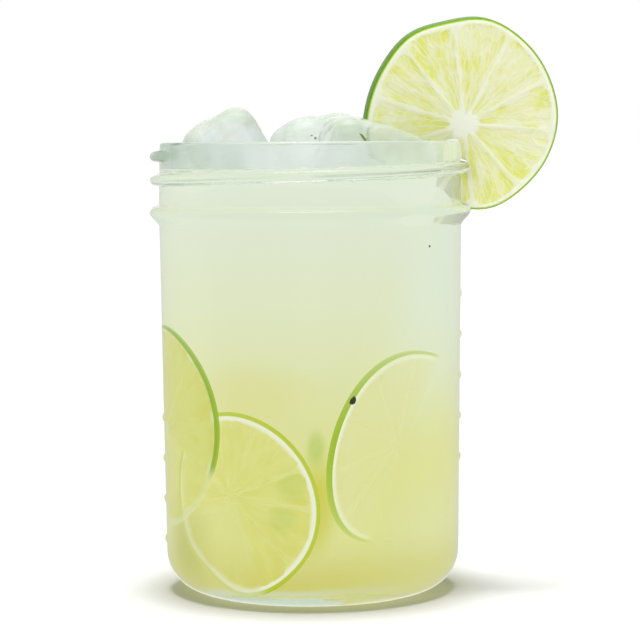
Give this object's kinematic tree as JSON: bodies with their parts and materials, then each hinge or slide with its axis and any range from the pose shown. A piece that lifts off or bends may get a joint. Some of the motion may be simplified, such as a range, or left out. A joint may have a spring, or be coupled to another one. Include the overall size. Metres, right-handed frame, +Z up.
{
  "type": "margarita cocktail in a preserving jar",
  "caption": "Cloudy lime cocktail with ice in a wide-mouthed glass jar, with a slit lime wheel astride the rim.",
  "frame": {"origin": "centre of the jar's base, on the flat of its shallow recess", "axes": "+Z up along the jar's axis; +X towards the lime wheel; the pictured side faces -Y"},
  "size_m": [0.1105, 0.0866, 0.154],
  "materials": {
    "jar_glass": "clear pressed soda glass",
    "drink": "cloudy pale yellow-green liquid",
    "ice": "wet cloudy ice",
    "lime": "wet cut lime with a green peel"
  },
  "bodies": {
    "root": {"jar": "jar_glass", "drink": "drink", "ice_left": "ice", "ice_middle": "ice", "ice_right": "ice", "lime_wheel_rim": "lime"}
  },
  "joints": []
}
